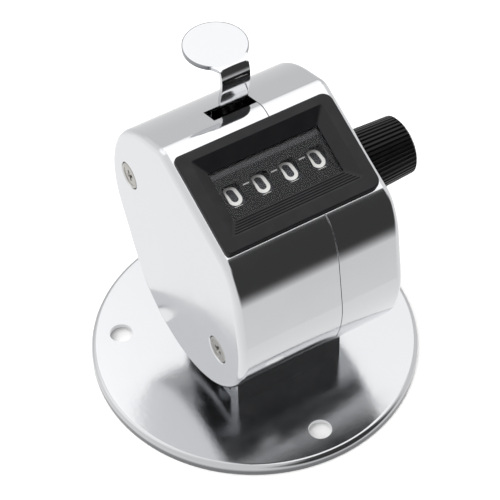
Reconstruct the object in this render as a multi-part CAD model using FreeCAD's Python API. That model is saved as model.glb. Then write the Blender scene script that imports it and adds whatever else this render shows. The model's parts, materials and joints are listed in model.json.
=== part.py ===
import FreeCAD, Part
import math
import os

# Desk tally counter. Millimetres. Origin: centre of the base disc, on the table top.
# +Z up, the number window faces -Y and upwards, the reset knob is on +X.

# ---- base disc -------------------------------------------------------------
base_radius = 39.0
base_height = 3.0
base_sheet = 1.0
base_edge_round = 1.2
base_hole_radius = 2.75
base_hole_circle = 64.0
base_hole_count = 3
base_hole_turn = 26.5

# ---- case: side outline is the outline of a belt round four discs ----------
case_width = 42.0
case_sheet = 0.8
case_edge_round = 1.6
case_low_y, case_low_z, case_low_radius = -4.6, 38.1, 25.3
case_back_y, case_back_z, case_back_radius = 2.7, 49.6, 23.7
case_crown_along, case_crown_radius = 13.4, 4.2
case_brow_along, case_brow_radius = -11.9, 10.4
seam_x = 4.8
seam_gap = 0.1

# ---- window facet: sloping plane, "along" runs up the slope ----------------
facet_lean = 65.0
window_y, window_z = -11.7, 69.2
bezel_width = 39.0
bezel_height = 24.4
bezel_proud = 1.2
bezel_corner_left = 1.3
bezel_corner_right = 2.4
bezel_rise = 2.4
mouth_width = 33.0
mouth_height = 18.8
sight_width = 27.6
sight_height = 11.6
sight_along = 0.5
sight_depth = 1.7
tub_wall = 2.2
tub_clearance = 0.2
lens_rim = 0.7
lens_thickness = 0.6
lens_gap = 0.05
mask_width = 34.0
mask_height = 19.0
mask_thickness = 0.4
mask_window_width = 5.0
mask_window_height = 6.0
mask_window_along = 0.2

# ---- lever slot in the top of the case -------------------------------------
slot_left = -6.0
slot_front_y = 4.9
slot_rear_y = 9.6

# ---- wheel shaft and number wheels ------------------------------------------
shaft_along = -2.5
shaft_depth = 12.2
shaft_radius = 1.5
run_gap = 0.05
fixed_gap = 0.02
wheel_pitch = 7.0
wheel_radius = 8.8
wheel_rim_width = 4.4
wheel_side_width = 1.1
wheel_web_radius = 6.4
lug_short = 0.15
lug_turn = 45.0
gear_module = 0.78
gear_teeth = 20
pinion_teeth = 8
tooth_rise = 0.55
tooth_bottom_gap = 0.2
pinion_width = 2.0
pinion_side = -70.0
pinion_shaft_radius = 1.0
ratchet_teeth = 10
ratchet_tip = 4.4
ratchet_root = 3.5
ratchet_hub_radius = 2.9
ratchet_thickness = 1.2
ratchet_x = 13.9
collar_radius = 2.6
collar_neck_radius = 1.85
collar_step_gap = 0.2

# ---- inner frame --------------------------------------------------------------
frame_inset = 2.6
frame_sheet = 1.0
frame_inside = 17.8
frame_floor_z = 16.3
frame_floor_front = -13.0
frame_floor_rear = 4.0
shelf_z = 52.0
shelf_front = 1.5
shelf_rear = 9.0

# ---- thumb lever ----------------------------------------------------------------
lever_sheet = 1.0
lever_pin_y, lever_pin_z = -19.8, 58.2
lever_pin_radius = 1.0
lever_eye_radius = 2.0
lever_arm_inside = 16.2
lever_bar_y, lever_bar_z = 5.2, 68.6
lever_bar_depth = 3.8
neck_width = 7.0
neck_y = 6.6
neck_belly = 0.75
neck_belly_drop = 4.4
neck_shoulder = 2.4
neck_straight_top = 76.2
pad_top_z = 86.0
pad_y = 13.9
pad_radius = 7.25

# ---- pawls, springs ---------------------------------------------------------------
pawl_pin_radius = 0.7
pawl_eye_radius = 1.7
pawl_tip_radius = 0.25
drive_pawl_y, drive_pawl_z = -2.0, 65.7
drive_tip_angle, drive_tip_reach = 10.0, 5.1
hold_pawl_y, hold_pawl_z = -9.4, 49.2
hold_tip_angle, hold_tip_reach = 215.0, 4.95
return_coil_radius = 2.3
return_wire_radius = 0.25
return_turns = 9.0
pawl_coil_inside = 0.95
pawl_coil_outside = 1.35
pawl_coil_strip = 0.2
pawl_coil_gap = 0.08
drive_coil_turns = 3
hold_coil_turns = 4

# ---- reset knob ---------------------------------------------------------------------
knob_gap = 1.1
knob_end_x = 33.9
knob_base_radius = 7.5
knob_end_radius = 6.9
knob_flutes = 44
knob_flute_depth = 0.35
knob_cap_round = 0.8
knob_hub_radius = 3.0
knob_hub_gap = 0.3

# ---- tie posts and side screws -------------------------------------------------------
post_rear_y, post_rear_z = 18.0, 53.6
post_front_y, post_front_z = -19.0, 30.7
post_radius = 2.6
screw_head_radius = 3.2
screw_head_height = 1.5
screw_shank_radius = 1.25
screw_length = 8.0
screw_recess = 0.25
cross_width = 0.9
cross_length = 3.6
cross_depth = 1.0

# ---- saddle under the case --------------------------------------------------------------
saddle_sheet = 1.2
saddle_width = 28.0
saddle_front_y = -15.5
saddle_rear_y = 9.0
saddle_gap = 0.05
saddle_foot = 7.5
saddle_lip = 3.4
saddle_bolt_x = 10.0
saddle_bolt_radius = 1.5
saddle_head_radius = 2.6
saddle_head_height = 1.6
saddle_nut_flats = 5.5
saddle_nut_height = 2.2
spacer_radius = 2.8
rivet_radius = 1.5
rivet_head_radius = 2.6
rivet_head_height = 0.9

V = FreeCAD.Vector
along_y = math.sin(math.radians(facet_lean))
along_z = math.cos(math.radians(facet_lean))
out_y = -along_z
out_z = along_y


def facet_point(along, out):
    """Y and Z of a point given up the slope and outwards from the bezel's face."""
    y = window_y + along * along_y + out * out_y
    z = window_z + along * along_z + out * out_z
    return y, z


def rod(radius, x0, x1, y, z):
    return Part.makeCylinder(radius, x1 - x0, V(x0, y, z), V(1, 0, 0))


def upright(radius, z0, z1, x, y):
    return Part.makeCylinder(radius, z1 - z0, V(x, y, z0), V(0, 0, 1))


def block(x0, x1, y0, y1, z0, z1):
    return Part.makeBox(x1 - x0, y1 - y0, z1 - z0, V(x0, y0, z0))


def belt(discs, x0, x1, shrink=0.0):
    """Solid whose side outline is a belt round discs listed anticlockwise (+Y to +Z)."""
    rings = [(y, z, r - shrink) for y, z, r in discs]
    count = len(rings)
    normals = []
    for i in range(count):
        ya, za, ra = rings[i]
        yb, zb, rb = rings[(i + 1) % count]
        span = math.hypot(yb - ya, zb - za)
        heading = math.atan2(zb - za, yb - ya)
        normals.append(heading - math.acos((ra - rb) / span))
    edges = []
    for i in range(count):
        y, z, r = rings[i]
        start = normals[i - 1]
        stop = normals[i]
        while stop < start:
            stop += 2 * math.pi
        while stop - start > 2 * math.pi:
            stop -= 2 * math.pi
        spots = []
        for a in (start, 0.5 * (start + stop), stop):
            spots.append(V(x0, y + r * math.cos(a), z + r * math.sin(a)))
        edges.append(Part.Arc(spots[0], spots[1], spots[2]).toShape())
        yn, zn, rn = rings[(i + 1) % count]
        landing = V(x0, yn + rn * math.cos(stop), zn + rn * math.sin(stop))
        if (landing - spots[2]).Length > 1e-4:
            edges.append(Part.makeLine(spots[2], landing))
    wire = Part.Wire(Part.__sortEdges__(edges))
    return Part.Face(wire).extrude(V(x1 - x0, 0, 0))


def round_side_edges(solid, x0, x1, radius):
    picked = []
    for edge in solid.Edges:
        box = edge.BoundBox
        if abs(box.XMin - box.XMax) > 1e-4:
            continue
        if abs(box.XMin - x0) < 1e-4 or abs(box.XMin - x1) < 1e-4:
            picked.append(edge)
    return solid.makeFillet(radius, picked)


def facet_box(width, height, along, out0, out1, corner=0.0):
    """Box lying on the window slope, centred at X=0, between two outward levels."""
    solid = Part.makeBox(width, height, out1 - out0, V(-width / 2, -height / 2, out0))
    if corner > 0:
        uprights = [e for e in solid.Edges if abs(e.BoundBox.ZLength - (out1 - out0)) < 1e-6
                    and e.BoundBox.XLength < 1e-6 and e.BoundBox.YLength < 1e-6]
        solid = solid.makeFillet(corner, uprights)
    return lay_on_facet(solid, along)


def lay_on_facet(solid, along):
    placed = solid.copy()
    placed.translate(V(0, along, 0))
    placed.rotate(V(0, 0, 0), V(1, 0, 0), 90.0 - facet_lean)
    placed.translate(V(0, window_y, window_z))
    return placed


def tooth_disc(teeth, root, tip, root_half, tip_half, phase, x0, x1, y, z):
    """Straight-toothed disc. Half widths are at the root and tip circles."""
    spots = []
    for i in range(teeth):
        middle = math.radians(phase + 360.0 * i / teeth)
        for radius, half in ((root, -root_half), (tip, -tip_half), (tip, tip_half), (root, root_half)):
            a = middle + half / radius
            spots.append(V(x0, y + radius * math.cos(a), z + radius * math.sin(a)))
    spots.append(spots[0])
    return Part.Face(Part.makePolygon(spots)).extrude(V(x1 - x0, 0, 0))


def saw_disc(teeth, root, tip, x0, x1, y, z):
    spots = []
    for i in range(teeth):
        a = 2 * math.pi * i / teeth
        b = 2 * math.pi * (i + 0.92) / teeth
        spots.append(V(x0, y + tip * math.cos(a), z + tip * math.sin(a)))
        spots.append(V(x0, y + root * math.cos(a + 0.04), z + root * math.sin(a + 0.04)))
        spots.append(V(x0, y + tip * 0.99 * math.cos(b), z + tip * 0.99 * math.sin(b)))
    spots.append(spots[0])
    return Part.Face(Part.makePolygon(spots)).extrude(V(x1 - x0, 0, 0))


def coil(radius, wire, length, turns):
    """Helical spring standing on Z=0, wire ends inside the length."""
    rise = length - 2 * wire
    path = Part.makeHelix(rise / turns, rise, radius)
    ring = Part.Wire(Part.makeCircle(wire, V(radius, 0, 0), V(0, 1, 0)))
    solid = Part.Wire(path).makePipeShell([ring], True, True)
    solid.translate(V(0, 0, wire))
    return solid


def flat_coil(x0, x1, turns, y, z):
    """Torsion spring of flat strip: turns side by side from x0 to x1, joined by the strip's crossing pieces."""
    made = []
    pitch = (x1 - x0 - pawl_coil_strip) / (turns - 1)
    for i in range(turns):
        start = x0 + i * pitch
        ring = rod(pawl_coil_outside, start, start + pawl_coil_strip, y, z)
        made.append(ring.cut(rod(pawl_coil_inside, start - 1, start + 2, y, z)))
    middle = (pawl_coil_inside + pawl_coil_outside) / 2
    crossing = block(x0, x1, y + middle - 0.12, y + middle + 0.12, z - 0.25, z + 0.25)
    return made[0].fuse(made[1:] + [crossing]).removeSplitter()


def cross_recess(x, y, z, side):
    """Cross slot cut into a head whose face is at x and looks towards side."""
    x0, x1 = sorted((x + side * 0.5, x - side * cross_depth))
    bar_a = block(x0, x1, y - cross_width / 2, y + cross_width / 2, z - cross_length / 2, z + cross_length / 2)
    bar_b = block(x0, x1, y - cross_length / 2, y + cross_length / 2, z - cross_width / 2, z + cross_width / 2)
    return bar_a.fuse(bar_b)


# ---- shared positions ---------------------------------------------------------
half_width = case_width / 2
crown = facet_point(case_crown_along, -bezel_proud - case_crown_radius)
brow = facet_point(case_brow_along, -bezel_proud - case_brow_radius)
case_discs = [
    (case_low_y, case_low_z, case_low_radius),
    (case_back_y, case_back_z, case_back_radius),
    (crown[0], crown[1], case_crown_radius),
    (brow[0], brow[1], case_brow_radius),
]
shaft_y, shaft_z = facet_point(shaft_along, -shaft_depth)
wheel_centres = [wheel_pitch * (i - 1.5) for i in range(4)]
gear_pitch_radius = gear_module * gear_teeth / 2
pinion_pitch_radius = gear_module * pinion_teeth / 2
pinion_distance = gear_pitch_radius + pinion_pitch_radius
pinion_y = shaft_y + pinion_distance * math.cos(math.radians(pinion_side))
pinion_z = shaft_z + pinion_distance * math.sin(math.radians(pinion_side))
frame_outside = frame_inside + frame_sheet
inner_half_width = half_width - case_sheet
posts = [(post_rear_y, post_rear_z), (post_front_y, post_front_z)]

# ---- base plate -----------------------------------------------------------------
base_plate = Part.makeCylinder(base_radius, base_height)
top_rim = [e for e in base_plate.Edges if abs(e.BoundBox.ZMin - base_height) < 1e-6
           and e.BoundBox.ZLength < 1e-6]
base_plate = base_plate.makeFillet(base_edge_round, top_rim)
hollow = Part.makeCylinder(base_radius - base_sheet, base_height - base_sheet)
hollow_rim = [e for e in hollow.Edges if abs(e.BoundBox.ZMin - (base_height - base_sheet)) < 1e-6
              and e.BoundBox.ZLength < 1e-6]
hollow = hollow.makeFillet(base_edge_round - 0.7 * base_sheet, hollow_rim)
base_plate = base_plate.cut(hollow)
for i in range(base_hole_count):
    a = math.radians(base_hole_turn + 360.0 * i / base_hole_count)
    hx = base_hole_circle / 2 * math.cos(a)
    hy = base_hole_circle / 2 * math.sin(a)
    base_plate = base_plate.cut(upright(base_hole_radius, -1, base_height + 1, hx, hy))
rivet_spots = [(0.0, saddle_front_y + saddle_foot - 3.0), (0.0, saddle_rear_y - saddle_foot + 3.0)]
for rx, ry in rivet_spots:
    base_plate = base_plate.cut(upright(rivet_radius + fixed_gap, -1, base_height + 1, rx, ry))

# ---- saddle bracket ---------------------------------------------------------------
saddle_top_radius = case_low_radius + saddle_gap
half_saddle = saddle_width / 2
cradle = rod(saddle_top_radius + saddle_sheet, -half_saddle, half_saddle, case_low_y, case_low_z)
cradle = cradle.common(block(-half_saddle, half_saddle, saddle_front_y, saddle_rear_y, 0, case_low_z - 5))
case_room = rod(saddle_top_radius, -half_saddle - 1, half_saddle + 1, case_low_y, case_low_z)
plate_top = base_height
wall_top = plate_top + 14.0
saddle_bracket = cradle
saddle_bracket = saddle_bracket.fuse(block(-half_saddle, half_saddle, saddle_front_y,
                                           saddle_front_y + saddle_sheet, plate_top, wall_top))
saddle_bracket = saddle_bracket.fuse(block(-half_saddle, half_saddle, saddle_rear_y - saddle_sheet,
                                           saddle_rear_y, plate_top, wall_top + 1.5))
saddle_bracket = saddle_bracket.fuse(block(-half_saddle, half_saddle, saddle_front_y,
                                           saddle_front_y + saddle_foot, plate_top, plate_top + saddle_sheet))
saddle_bracket = saddle_bracket.fuse(block(-half_saddle, half_saddle, saddle_rear_y - saddle_foot,
                                           saddle_rear_y, plate_top, plate_top + saddle_sheet))
for side in (-1, 1):
    x0, x1 = sorted((side * half_saddle, side * (half_saddle - saddle_sheet)))
    saddle_bracket = saddle_bracket.fuse(block(x0, x1, saddle_front_y, saddle_front_y + saddle_lip,
                                               plate_top, wall_top))
saddle_bracket = saddle_bracket.cut(case_room)
for side in (-1, 1):
    saddle_bracket = saddle_bracket.cut(upright(saddle_bolt_radius + run_gap, plate_top + 4,
                                                wall_top + 6, side * saddle_bolt_x, case_low_y))
for rx, ry in rivet_spots:
    saddle_bracket = saddle_bracket.cut(upright(rivet_radius + fixed_gap, 0, plate_top + 3, rx, ry))
saddle_bracket = saddle_bracket.removeSplitter()

rivets = []
for rx, ry in rivet_spots:
    low = base_height - base_sheet
    high = plate_top + saddle_sheet
    pin = upright(rivet_radius, low, high, rx, ry)
    pin = pin.fuse(upright(rivet_head_radius, low - rivet_head_height, low, rx, ry))
    pin = pin.fuse(upright(rivet_head_radius, high, high + rivet_head_height, rx, ry))
    rivets.append(pin)
saddle_rivets = Part.makeCompound(rivets)

cradle_low = case_low_z - saddle_top_radius - saddle_sheet
case_low = case_low_z - case_low_radius
bolts = []
nuts = []
spacers = []
for side in (-1, 1):
    bx = side * saddle_bolt_x
    shank = upright(saddle_bolt_radius, cradle_low - 0.1, frame_floor_z + frame_sheet + saddle_nut_height + 0.6,
                    bx, case_low_y)
    head = upright(saddle_head_radius, cradle_low - saddle_head_height, cradle_low - 0.1, bx, case_low_y)
    bolts.append(shank.fuse(head))
    nut_z = frame_floor_z + frame_sheet
    flats = []
    for k in range(7):
        a = math.radians(60 * k + 30)
        reach = saddle_nut_flats / 2 / math.cos(math.radians(30))
        flats.append(V(bx + reach * math.cos(a), case_low_y + reach * math.sin(a), nut_z))
    nut = Part.Face(Part.makePolygon(flats)).extrude(V(0, 0, saddle_nut_height))
    nuts.append(nut.cut(upright(saddle_bolt_radius + fixed_gap, nut_z - 1, nut_z + 4, bx, case_low_y)))
    spacer = upright(spacer_radius, case_low + case_sheet + 0.25, frame_floor_z, bx, case_low_y)
    spacers.append(spacer.cut(upright(saddle_bolt_radius + run_gap, 0, frame_floor_z + 1, bx, case_low_y)))
saddle_bolts = Part.makeCompound(bolts)
saddle_nuts = Part.makeCompound(nuts)
saddle_spacers = Part.makeCompound(spacers)

# ---- case halves --------------------------------------------------------------------
case_outer = belt(case_discs, -half_width, half_width)
case_outer = round_side_edges(case_outer, -half_width, half_width, case_edge_round)
case_inner = belt(case_discs, -inner_half_width, inner_half_width, case_sheet)
case_inner = round_side_edges(case_inner, -inner_half_width, inner_half_width, case_edge_round - case_sheet)
case = case_outer.cut(case_inner)
tub_width = sight_width + 2 * tub_wall
tub_height = sight_height + 2 * tub_wall
case = case.cut(facet_box(tub_width + 2 * tub_clearance, tub_height + 2 * tub_clearance, sight_along,
                          -bezel_proud - 4, 2))
case = case.cut(rod(knob_hub_radius + knob_hub_gap, 0, half_width + 1, shaft_y, shaft_z))
for side in (-1, 1):
    case = case.cut(upright(saddle_bolt_radius + run_gap, 0, case_low + 4, side * saddle_bolt_x, case_low_y))
    face_x = side * half_width
    for py, pz in posts:
        x0, x1 = sorted((face_x + side, side * (inner_half_width - 1)))
        case = case.cut(rod(screw_shank_radius + 0.35, x0, x1, py, pz))
        seat = Part.makeCone(screw_head_radius + screw_recess, screw_head_radius - case_sheet * 0.6,
                             case_sheet + 0.02, V(face_x, py, pz), V(-side, 0, 0))
        case = case.cut(seat)
left_room = block(-half_width - 5, seam_x - seam_gap / 2, -50, 50, 0, 100)
right_room = block(seam_x + seam_gap / 2, half_width + 5, -50, 50, 0, 100)
left_shell = case.common(left_room)
left_shell = left_shell.cut(block(slot_left, seam_x + 1, slot_front_y, slot_rear_y, 65, 90))
right_shell = case.common(right_room)

# ---- side screws and tie posts ----------------------------------------------------------
screw_sets = {}
for side, label in ((-1, "left_screws"), (1, "right_screws")):
    made = []
    for py, pz in posts:
        face_x = side * (half_width - 0.05)
        head = Part.makeCone(screw_head_radius, screw_shank_radius, screw_head_height,
                             V(face_x, py, pz), V(-side, 0, 0))
        x0, x1 = sorted((face_x - side * 0.4, face_x - side * screw_length))
        screw = head.fuse(rod(screw_shank_radius, x0, x1, py, pz))
        made.append(screw.cut(cross_recess(face_x, py, pz, side)))
    screw_sets[label] = Part.makeCompound(made)
post_end = half_width - 0.05 - screw_head_height - 0.05
tie_posts = []
for py, pz in posts:
    post = rod(post_radius, -post_end, post_end, py, pz)
    tie_posts.append(post.cut(rod(screw_shank_radius + fixed_gap, -post_end - 1, post_end + 1, py, pz)))
rear_tie_post, front_tie_post = tie_posts

# ---- bezel, lens, mask -------------------------------------------------------------------
flange = Part.makeBox(bezel_width, bezel_height, bezel_proud,
                      V(-bezel_width / 2, -bezel_height / 2, -bezel_proud))
for radius, sign in ((bezel_corner_left, -1), (bezel_corner_right, 1)):
    corners = [e for e in flange.Edges if abs(e.BoundBox.ZLength - bezel_proud) < 1e-6
               and abs(e.BoundBox.XMin - sign * bezel_width / 2) < 1e-6 and e.BoundBox.XLength < 1e-6]
    flange = flange.makeFillet(radius, corners)
rims = [e for e in flange.Edges if abs(e.BoundBox.ZMin) < 1e-6 and e.BoundBox.ZLength < 1e-6]
flange = flange.makeFillet(0.5, rims)
tub_floor = -sight_depth - lens_gap - lens_thickness
tub = Part.makeBox(tub_width, tub_height, bezel_proud - tub_floor - bezel_proud,
                   V(-tub_width / 2, sight_along - tub_height / 2, tub_floor))
tub = tub.common(Part.makeBox(100, 100, 50, V(-50, -50, -bezel_proud - 50 + 0.2)))


def loop(width, height, along, out):
    w, h = width / 2, height / 2
    return Part.makePolygon([V(-w, along - h, out), V(w, along - h, out), V(w, along + h, out),
                             V(-w, along + h, out), V(-w, along - h, out)])


slope_x = (mouth_width - sight_width) / sight_depth
slope_y = (mouth_height - sight_height) / sight_depth
funnel = Part.makeLoft([loop(mouth_width + slope_x * 0.5, mouth_height + slope_y * 0.5, sight_along, 0.5),
                        loop(sight_width, sight_height, sight_along, -sight_depth)], True, True)
lens_pocket = Part.makeBox(sight_width + 2 * lens_rim, sight_height + 2 * lens_rim, 3,
                           V(-sight_width / 2 - lens_rim, sight_along - sight_height / 2 - lens_rim,
                             -sight_depth - 3))
sight_hole = Part.makeBox(sight_width, sight_height, 6,
                          V(-sight_width / 2, sight_along - sight_height / 2, -sight_depth - 3))
bezel = flange.fuse(tub).cut(funnel).cut(lens_pocket).cut(sight_hole)
bezel = lay_on_facet(bezel.removeSplitter(), 0.0)
lens_margin = lens_rim - 0.05
window_lens = facet_box(sight_width + 2 * lens_margin, sight_height + 2 * lens_margin, sight_along,
                        -sight_depth - lens_gap - lens_thickness, -sight_depth - lens_gap)
mask_top = tub_floor - lens_gap
number_mask = facet_box(mask_width, mask_height, sight_along, mask_top - mask_thickness, mask_top)
for x in wheel_centres:
    window = facet_box(mask_window_width, mask_window_height, mask_window_along, mask_top - 3, mask_top + 3)
    window.translate(V(x, 0, 0))
    number_mask = number_mask.cut(window)

# ---- inner frame and spring shelf ------------------------------------------------------------
inner_frame = belt(case_discs, -frame_outside, frame_outside, frame_inset)
inner_frame = inner_frame.cut(block(-frame_inside, frame_inside, -60, 60, 0, 100))
inner_frame = inner_frame.fuse(block(-frame_inside, frame_inside, frame_floor_front, frame_floor_rear,
                                     frame_floor_z, frame_floor_z + frame_sheet))
inner_frame = inner_frame.cut(rod(shaft_radius + run_gap, -30, 30, shaft_y, shaft_z))
inner_frame = inner_frame.cut(rod(lever_pin_radius + fixed_gap, -30, 30, lever_pin_y, lever_pin_z))
inner_frame = inner_frame.cut(rod(pinion_shaft_radius + fixed_gap, -30, 30, pinion_y, pinion_z))
inner_frame = inner_frame.cut(rod(pawl_pin_radius + fixed_gap, 0, 30, hold_pawl_y, hold_pawl_z))
for py, pz in posts:
    inner_frame = inner_frame.cut(rod(post_radius + fixed_gap, -30, 30, py, pz))
for side in (-1, 1):
    inner_frame = inner_frame.cut(upright(saddle_bolt_radius + run_gap, 10, 20, side * saddle_bolt_x,
                                          case_low_y))
inner_frame = inner_frame.removeSplitter()
spring_shelf = block(-frame_inside, frame_inside, shelf_front, shelf_rear, shelf_z, shelf_z + frame_sheet)
shelf_lips = []
for side in (-1, 1):
    x0, x1 = sorted((side * frame_inside, side * (frame_inside - frame_sheet)))
    shelf_lips.append(block(x0, x1, shelf_front, shelf_rear, shelf_z - 4.0, shelf_z + frame_sheet))
spring_shelf = spring_shelf.fuse(shelf_lips).removeSplitter()

# ---- wheel shaft, clip, washer, pinion shaft --------------------------------------------------
shaft_left_end = -inner_half_width + 0.5
knob_start_x = half_width + knob_gap
wheel_shaft = rod(shaft_radius, shaft_left_end, knob_end_x - 2.5, shaft_y, shaft_z)
clip_x = -frame_outside - 0.1
wheel_shaft = wheel_shaft.cut(rod(shaft_radius + 1, clip_x - 0.45, clip_x + 0.02, shaft_y, shaft_z).cut(
    rod(shaft_radius - 0.3, clip_x - 1, clip_x + 1, shaft_y, shaft_z)))
shaft_clip = rod(shaft_radius + 1.3, clip_x - 0.42, clip_x, shaft_y, shaft_z)
shaft_clip = shaft_clip.cut(rod(shaft_radius - 0.28, clip_x - 1, clip_x + 1, shaft_y, shaft_z))
shaft_clip = shaft_clip.cut(block(clip_x - 1, clip_x + 1, shaft_y - 0.8, shaft_y + 0.8,
                                  shaft_z - 5, shaft_z))
pinion_shaft = rod(pinion_shaft_radius, -frame_outside, frame_outside, pinion_y, pinion_z)

# ---- number wheels --------------------------------------------------------------------------------
gear_root = gear_pitch_radius - tooth_rise - tooth_bottom_gap
gear_tip = gear_pitch_radius + tooth_rise
pinion_root = pinion_pitch_radius - tooth_rise - tooth_bottom_gap
pinion_tip = pinion_pitch_radius + tooth_rise


def number_wheel(x, with_gear):
    rim = rod(wheel_radius, x - wheel_rim_width / 2, x + wheel_rim_width / 2, shaft_y, shaft_z)
    left_x = x - wheel_rim_width / 2 - wheel_side_width
    right_x = x + wheel_rim_width / 2 + wheel_side_width
    wheel = rim.fuse(rod(wheel_web_radius, left_x, x, shaft_y, shaft_z))
    lug = block(left_x, x, -0.5, 0.5, 0, pinion_distance - pinion_tip - lug_short)
    lug.rotate(V(0, 0, 0), V(1, 0, 0), pinion_side - 90 + lug_turn)
    lug.translate(V(0, shaft_y, shaft_z))
    wheel = wheel.fuse(lug)
    if with_gear:
        wheel = wheel.fuse(tooth_disc(gear_teeth, gear_root, gear_tip, 0.66, 0.28, pinion_side,
                                      x, right_x, shaft_y, shaft_z))
    else:
        wheel = wheel.fuse(rod(wheel_web_radius, x, right_x, shaft_y, shaft_z))
    wheel = wheel.cut(rod(shaft_radius + run_gap, left_x - 1, right_x + 1, shaft_y, shaft_z))
    return wheel.removeSplitter()


thousands_wheel = number_wheel(wheel_centres[0], True)
hundreds_wheel = number_wheel(wheel_centres[1], True)
tens_wheel = number_wheel(wheel_centres[2], True)
units_wheel = number_wheel(wheel_centres[3], False)

pinions = []
for i in range(3):
    middle = 0.5 * (wheel_centres[i] + wheel_centres[i + 1])
    pinion = tooth_disc(pinion_teeth, pinion_root, pinion_tip, 0.62, 0.26,
                        pinion_side + 180.0 + 180.0 / pinion_teeth,
                        middle - pinion_width / 2, middle + pinion_width / 2, pinion_y, pinion_z)
    pinions.append(pinion.cut(rod(pinion_shaft_radius + run_gap, middle - 3, middle + 3,
                                  pinion_y, pinion_z)))

ratchet_wheel = saw_disc(ratchet_teeth, ratchet_root, ratchet_tip, ratchet_x,
                         ratchet_x + ratchet_thickness, shaft_y, shaft_z)
hub_start = wheel_centres[3] + wheel_rim_width / 2 + wheel_side_width
ratchet_wheel = ratchet_wheel.fuse(rod(ratchet_hub_radius, hub_start, ratchet_x + ratchet_thickness,
                                       shaft_y, shaft_z))
ratchet_wheel = ratchet_wheel.cut(rod(shaft_radius + run_gap, 0, 20, shaft_y, shaft_z))

# collars that keep the row of wheels in the middle of the shaft
left_collar_start = -frame_inside + 0.1
left_collar_end = wheel_centres[0] - wheel_rim_width / 2 - wheel_side_width - 0.1
left_collar = rod(collar_radius, -lever_arm_inside + collar_step_gap, left_collar_end, shaft_y, shaft_z)
left_collar = left_collar.fuse(rod(collar_neck_radius, left_collar_start, left_collar_end, shaft_y, shaft_z))
left_collar = left_collar.cut(rod(shaft_radius + fixed_gap, -30, 0, shaft_y, shaft_z)).removeSplitter()
right_collar_start = ratchet_x + ratchet_thickness + 0.1
right_collar = rod(collar_radius, right_collar_start, lever_arm_inside - collar_step_gap, shaft_y, shaft_z)
right_collar = right_collar.fuse(rod(collar_neck_radius, right_collar_start, frame_inside - 0.1, shaft_y, shaft_z))
right_collar = right_collar.cut(rod(shaft_radius + fixed_gap, 0, 30, shaft_y, shaft_z)).removeSplitter()

# ---- thumb lever ---------------------------------------------------------------------------------------
arm_outside = lever_arm_inside + lever_sheet
arm_discs = [
    (lever_pin_y, lever_pin_z, lever_eye_radius),
    (lever_bar_y, lever_bar_z, 1.9),
]
bar_top = lever_bar_z + 1.9 - 0.6
bar_front = lever_bar_y - lever_bar_depth / 2
bar_rear = neck_y + lever_sheet / 2
arms = []
for side in (-1, 1):
    x0, x1 = sorted((side * lever_arm_inside, side * arm_outside))
    arms.append(belt(arm_discs, x0, x1))
bar = block(-arm_outside, arm_outside, bar_front, bar_rear, bar_top - lever_sheet, bar_top)
neck_low = bar_top - lever_sheet
pad_middle = pad_top_z - lever_sheet / 2
# middle line of the bent sheet, from the bar up to the pad: (y, z)
neck_line = [
    (neck_y, neck_low + 0.3),
    (neck_y, (neck_low + neck_straight_top) / 2),
    (neck_y, neck_straight_top),
    (neck_y - 0.55 * neck_belly, (neck_straight_top + pad_middle - neck_belly_drop) / 2),
    (neck_y - neck_belly, pad_middle - neck_belly_drop),
    (neck_y - 0.8 * neck_belly, pad_middle - 0.45 * neck_belly_drop),
    (neck_y + 0.1 * neck_shoulder, pad_middle - 0.13 * neck_belly_drop),
    (neck_y + 0.55 * neck_shoulder, pad_middle - 0.025 * neck_belly_drop),
    (neck_y + neck_shoulder, pad_middle),
    (neck_y + neck_shoulder + 1.0, pad_middle),
]
middle = Part.BSplineCurve()
middle.interpolate([V(0, y, z) for y, z in neck_line])
faces_of_sheet = []
for side in (-1, 1):
    spots = []
    for i in range(25):
        u = middle.FirstParameter + (middle.LastParameter - middle.FirstParameter) * i / 24
        spot = middle.value(u)
        along = middle.tangent(u)[0]
        spots.append(V(0, spot.y - side * along.z * lever_sheet / 2, spot.z + side * along.y * lever_sheet / 2))
    curve = Part.BSplineCurve()
    curve.interpolate(spots)
    faces_of_sheet.append(curve.toShape())
inner, outer = faces_of_sheet
neck_ends = [Part.makeLine(inner.Vertexes[i].Point, outer.Vertexes[i].Point) for i in (0, -1)]
neck = Part.Face(Part.Wire(Part.__sortEdges__([inner, outer] + neck_ends)))
neck = neck.extrude(V(neck_width, 0, 0))
neck.translate(V(-neck_width / 2, 0, 0))
tongue = block(-neck_width / 2, neck_width / 2, neck_y + neck_shoulder - 0.01, pad_y,
               pad_top_z - lever_sheet, pad_top_z)
pad = upright(pad_radius, pad_top_z - lever_sheet, pad_top_z, 0, pad_y)
pad_edges = [e for e in pad.Edges if e.BoundBox.ZLength < 1e-6]
pad = pad.makeFillet(0.3, pad_edges)
thumb_lever = arms[0].fuse([arms[1], bar, neck, tongue, pad])
thumb_lever = thumb_lever.cut(rod(lever_pin_radius + run_gap, -30, 30, lever_pin_y, lever_pin_z))
thumb_lever = thumb_lever.cut(rod(pawl_pin_radius + fixed_gap, 0, 30, drive_pawl_y, drive_pawl_z))
thumb_lever = thumb_lever.removeSplitter()
lever_pin = rod(lever_pin_radius, -frame_outside, frame_outside, lever_pin_y, lever_pin_z)

spring_low = shelf_z + frame_sheet
spring_high = bar_top - lever_sheet
return_spring = coil(return_coil_radius, return_wire_radius, spring_high - spring_low - 0.1, return_turns)
return_spring.translate(V(0, bar_front + lever_bar_depth / 2 - 0.2, spring_low + 0.05))

# ---- pawls ---------------------------------------------------------------------------------------------------


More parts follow.
